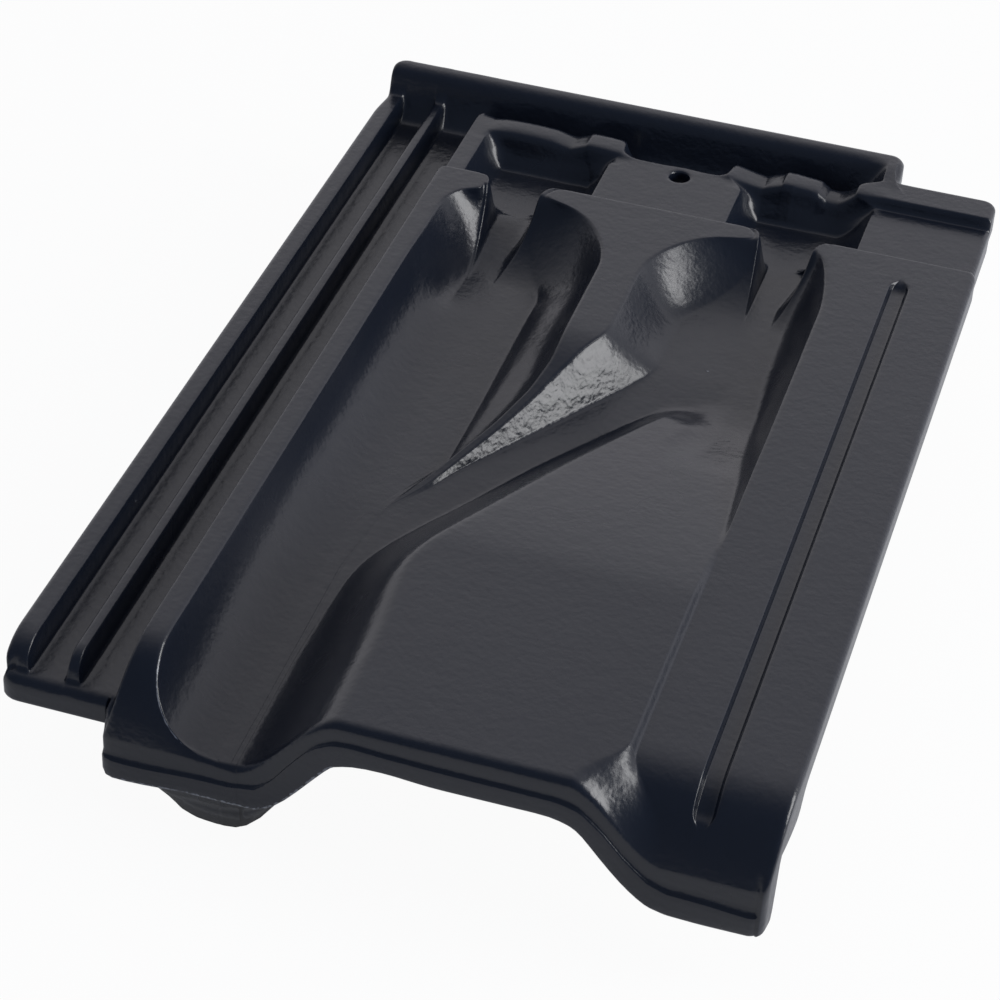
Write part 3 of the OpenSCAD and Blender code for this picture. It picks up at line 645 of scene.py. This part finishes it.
# %% Mesh
used, renamed = np.unique(np.concatenate([quads.ravel(), tris.ravel()]), return_inverse=True)
verts = verts[used]
quads, tris = renamed[:quads.size].reshape(-1, 4), renamed[quads.size:].reshape(-1, 3)
place = (verts + [-WIDTH / 2, -LENGTH / 2, PLATEAU]) / 1000.0
mesh = bpy.data.meshes.new("glazed_tile")
mesh.from_pydata(place.tolist(), [], quads.tolist() + tris.tolist())
mesh.polygons.foreach_set("use_smooth", np.ones(len(mesh.polygons), bool))
mesh.update()
tile = bpy.data.objects.new("glazed_tile", mesh)
bpy.context.scene.collection.objects.link(tile)
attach(tile, "root")
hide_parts("roof_tile")
print("box", place.min(0), place.max(0))

# %% [markdown]
# ## Chipped, highlighted and hammered places
# Glaze chips where a tile is gripped and stacked: at the foot of the lip, and along the mouth of the first trough,
# where the thin pale line is partly chipped glaze and partly a painted highlight on the edge. The facet of the ridge
# has a coarser, hammered skin. These places follow the tile's own lines, so they are kept on the points, as
# attributes that the material reads.

# %% Attributes
MOUTH_LINE, FACET_LINE = 9, 21
# a thin pale line along the first trough's mouth, near the lip: partly chipped glaze, partly a painted highlight on
# the edge
mouth_chips_and_painted_glint = np.exp(-((line_at - MOUTH_LINE) * 9) ** 2) * part(Y, 26, 20) * part(Y, 2, 4)
facet_top = part(line_at, FACET_LINE, FACET_LINE + 0.1) * part(line_at, FACET_LINE + 1.05, FACET_LINE + 0.95)
facet_top = facet_top * part(Y, 170, 180) * part(Y, 268, 256)
worn_skirt = np.zeros(skirt.shape[:2])
worn_skirt[-4:] = on_lip * part(bx, 150, 130) * 0.9
for name, on_top, on_skirt in (("chips_and_glint", mouth_chips_and_painted_glint, worn_skirt), ("facet", facet_top, 0 * worn_skirt)):
    share = np.concatenate([on_top.ravel(), on_skirt.ravel(), np.zeros(R2 * C2 + hole_index.size)])[used]
    mesh.attributes.new(name, "FLOAT", "POINT").data.foreach_set("value", share)
    print(name, "on", int((share > 0.5).sum()), "points")


# %% [markdown]
# ## The glaze
# The glaze is nearly black and satin. What the eye sees on it is the studio: paler on the flats that mirror the
# background, dark on slopes that mirror the room in front. Fine ripples and small specks break the mirror up,
# and pale clay shows where the glaze is chipped; along the first trough's mouth that pale line is partly a
# painted highlight.

# %% Shader maths
class Socket:
    """Wraps an output socket, so that sums and products of sockets add Math nodes."""

    def __init__(self, tree, out):
        self.tree, self.out = tree, out

    def node(self, kind, settings=None, **values):
        """Adds a node of that kind, sets its settings first and then its inputs by name or number."""
        made = self.tree.nodes.new(kind)
        for name, value in (settings or {}).items():
            setattr(made, name, value)
        for name, value in values.items():
            key = int(name[1:]) if name[0] == "i" and name[1:].isdigit() else name.replace("_", " ")
            socket = made.inputs[key]
            if isinstance(value, Socket):
                self.tree.links.new(value.out, socket)
            else:
                socket.default_value = value
        return made

    def math(self, operation, *values):
        """A Math node with that operation on the values."""
        made = self.node("ShaderNodeMath", {"operation": operation}, **{f"i{n}": v for n, v in enumerate(values)})
        return Socket(self.tree, made.outputs[0])

    def __add__(self, other):
        return self.math("ADD", self, other)

    def __sub__(self, other):
        return self.math("SUBTRACT", self, other)

    def __rsub__(self, other):
        return self.math("SUBTRACT", other, self)

    def __mul__(self, other):
        return self.math("MULTIPLY", self, other)

    def __gt__(self, other):
        return self.math("GREATER_THAN", self, other)

    __radd__, __rmul__ = __add__, __mul__

    def smooth(self, a, b):
        """Soft step from 0 at a to 1 at b."""
        settings = {"interpolation_type": "SMOOTHSTEP"}
        made = self.node("ShaderNodeMapRange", settings, Value=self, From_Min=a, From_Max=b)
        return Socket(self.tree, made.outputs[0])


def new_material(name):
    """An empty material, its shader and its object coordinates."""
    made = bpy.data.materials.new(name)
    made.use_nodes = True
    tree = made.node_tree
    shader = tree.nodes["Principled BSDF"]
    where = tree.nodes.new("ShaderNodeTexCoord")
    return made, tree, shader, Socket(tree, where.outputs["Object"])


# %% Glaze
glaze, tree, shader, where = new_material("black_glaze")


def noise(scale, detail=2.0, roughness=0.5):
    """Noise in object coordinates, between 0 and 1."""
    made = where.node("ShaderNodeTexNoise", {}, Vector=where, Scale=scale, Detail=detail, Roughness=roughness)
    return Socket(tree, made.outputs["Fac"])


def attribute(name):
    """A value that the mesh keeps on its points."""
    return Socket(tree, where.node("ShaderNodeAttribute", {"attribute_name": name}).outputs["Fac"])


# %% Specks and ripples
cells = where.node("ShaderNodeTexVoronoi", {"feature": "F1"}, Vector=where, Scale=60.0)
lucky = Socket(tree, where.node("ShaderNodeSeparateColor", {}, Color=Socket(tree, cells.outputs["Color"])).outputs[0])
speck = Socket(tree, cells.outputs["Distance"]).smooth(0.045, 0.025) * (lucky > 0.9)
ripple = noise(140.0, 2.0) * 0.6 + noise(420.0, 1.0) * 0.4
grain = noise(2200.0, 1.0)
height = ripple + grain * 0.05 + speck * 0.5 + attribute("facet") * noise(190.0, 2.0) * 1.8
bump = where.node("ShaderNodeBump", {}, Strength=0.5, Distance=0.0006, Height=height)
tree.links.new(bump.outputs["Normal"], shader.inputs["Normal"])
print("skin made of", len(tree.nodes), "nodes")

# %% Colour and gloss
tone = noise(16.0, 3.0)
colour = where.node("ShaderNodeMix", {"data_type": "RGBA"}, i0=tone.smooth(0.3, 0.7),
                    i6=(0.0055, 0.0085, 0.0165, 1), i7=(0.0075, 0.0105, 0.0185, 1))
# pale clay where the glaze is chipped at the lip's foot and the trough's mouth; along the mouth it is partly a
# painted highlight
chips_and_glint_share = (attribute("chips_and_glint") * 1.5 + noise(500.0, 2.0) - 1.0).smooth(0.75, 0.95)
pale = where.node("ShaderNodeMix", {"data_type": "RGBA"}, i0=chips_and_glint_share + speck * 0.7, i6=Socket(tree, colour.outputs[2]),
                  i7=(0.22, 0.23, 0.25, 1))
tree.links.new(pale.outputs[2], shader.inputs["Base Color"])
rough = 0.2 + noise(30.0, 2.0) * 0.12
tree.links.new(rough.out, shader.inputs["Roughness"])
shader.inputs["IOR"].default_value = 1.5
mesh.materials.append(glaze)
print("glaze on", tile.name)

# %% [markdown]
# ## Studio
# The photograph has a white background and soft light: a bright box to the right with a small one above it,
# white behind the tile and a dark room in front. The floor is pale and keeps the tile's shadow.

# %% Floor
REACH = 6.0
floor_mesh = bpy.data.meshes.new("floor")
corners = [(x * REACH, y * REACH, 0) for x, y in ((-1, -1), (1, -1), (1, 1), (-1, 1))]
floor_mesh.from_pydata(corners, [], [(0, 1, 2, 3)])
floor_object = bpy.data.objects.new("floor", floor_mesh)
bpy.context.scene.collection.objects.link(floor_object)
paper, paper_tree, paper_shader, _ = new_material("paper")
paper_shader.inputs["Base Color"].default_value = (0.85, 0.85, 0.86, 1)
paper_shader.inputs["Roughness"].default_value = 0.9
paper_shader.inputs["Specular IOR Level"].default_value = 0.1
white = paper_tree.nodes.new("ShaderNodeEmission")
white.inputs["Color"].default_value = (1, 1, 1, 1)
path = paper_tree.nodes.new("ShaderNodeLightPath")
camera_ray = Socket(paper_tree, path.outputs["Is Camera Ray"])
glossy_ray = Socket(paper_tree, path.outputs["Is Glossy Ray"])
share = camera_ray * 0.95 + glossy_ray * 0.25
blend_node = paper_tree.nodes.new("ShaderNodeMixShader")
paper_tree.links.new(share.out, blend_node.inputs[0])
paper_tree.links.new(paper_shader.outputs[0], blend_node.inputs[1])
paper_tree.links.new(white.outputs[0], blend_node.inputs[2])
paper_tree.links.new(blend_node.outputs[0], paper_tree.nodes["Material Output"].inputs["Surface"])
floor_mesh.materials.append(paper)
print("floor", 2 * REACH, "m wide")

# %% World
world = bpy.data.worlds.new("studio")
bpy.context.scene.world = world
world.use_nodes = True
wt = world.node_tree
background = wt.nodes["Background"]
sky = wt.nodes.new("ShaderNodeTexCoord")
direction = Socket(wt, sky.outputs["Generated"])
parts = direction.node("ShaderNodeSeparateXYZ", {}, Vector=direction)
back = Socket(wt, parts.outputs["Y"])
room = direction.node("ShaderNodeMix", {"data_type": "RGBA"}, i0=back.smooth(-0.45, 0.95),
                      i6=(0.14, 0.17, 0.24, 1), i7=(0.91, 0.89, 0.93, 1))
wt.links.new(room.outputs[2], background.inputs["Color"])
world_path = wt.nodes.new("ShaderNodeLightPath")
plain = wt.nodes.new("ShaderNodeBackground")
plain.inputs["Color"].default_value = (1, 1, 1, 1)
choose = wt.nodes.new("ShaderNodeMixShader")
wt.links.new(world_path.outputs["Is Camera Ray"], choose.inputs[0])
wt.links.new(background.outputs[0], choose.inputs[1])
wt.links.new(plain.outputs[0], choose.inputs[2])
wt.links.new(choose.outputs[0], wt.nodes["World Output"].inputs["Surface"])
print("world", world.name)

# %% Lamps
def soft_box(name, at, aim, size_x, size_y, power):
    """A rectangular lamp at a place, turned towards a point."""
    lamp = bpy.data.lights.new(name, "AREA")
    lamp.shape = "RECTANGLE"
    lamp.size, lamp.size_y, lamp.energy = size_x, size_y, power
    holder = bpy.data.objects.new(name, lamp)
    holder.location = at
    holder.rotation_euler = (Vector(aim) - Vector(at)).to_track_quat("-Z", "Y").to_euler()
    bpy.context.scene.collection.objects.link(holder)
    return holder


soft_box("right_box", (1.6, 0.1, 0.6), (0.0, 0.02, 0.05), 0.9, 0.9, 19.0)
soft_box("high_box", (1.5, 0.4, 1.3), (0.05, 0.12, 0.05), 0.45, 0.45, 4.0)
print("lamps", [thing.name for thing in bpy.data.lights])

# %% [markdown]
# ## Camera
# The camera was fitted to the tile's corners and long edges in the photograph: a place, three directions and a
# long lens. The columns of the turning matrix are the directions to the right, upwards and backwards.

# %% Camera
SENSOR, FOCUS = 36.0, 2.98
camera = bpy.data.cameras.new("camera")
camera.sensor_width, camera.lens = SENSOR, SENSOR * FOCUS
holder = bpy.data.objects.new("camera", camera)
right, upward = (0.95298, 0.30022, 0.04157), (-0.21662, 0.57882, 0.78617)
forward = (-0.21193, 0.75819, -0.61663)
turned = Matrix((right, upward, [-v for v in forward])).transposed()
holder.matrix_world = Matrix.Translation((0.24022, -0.93278, 0.75904)) @ turned.to_4x4()
bpy.context.scene.collection.objects.link(holder)
bpy.context.scene.camera = holder
bpy.context.scene.view_settings.view_transform = "Standard"
print("camera at", tuple(holder.location), "lens", camera.lens)

# %% Finish
bpy.context.view_layer.update()
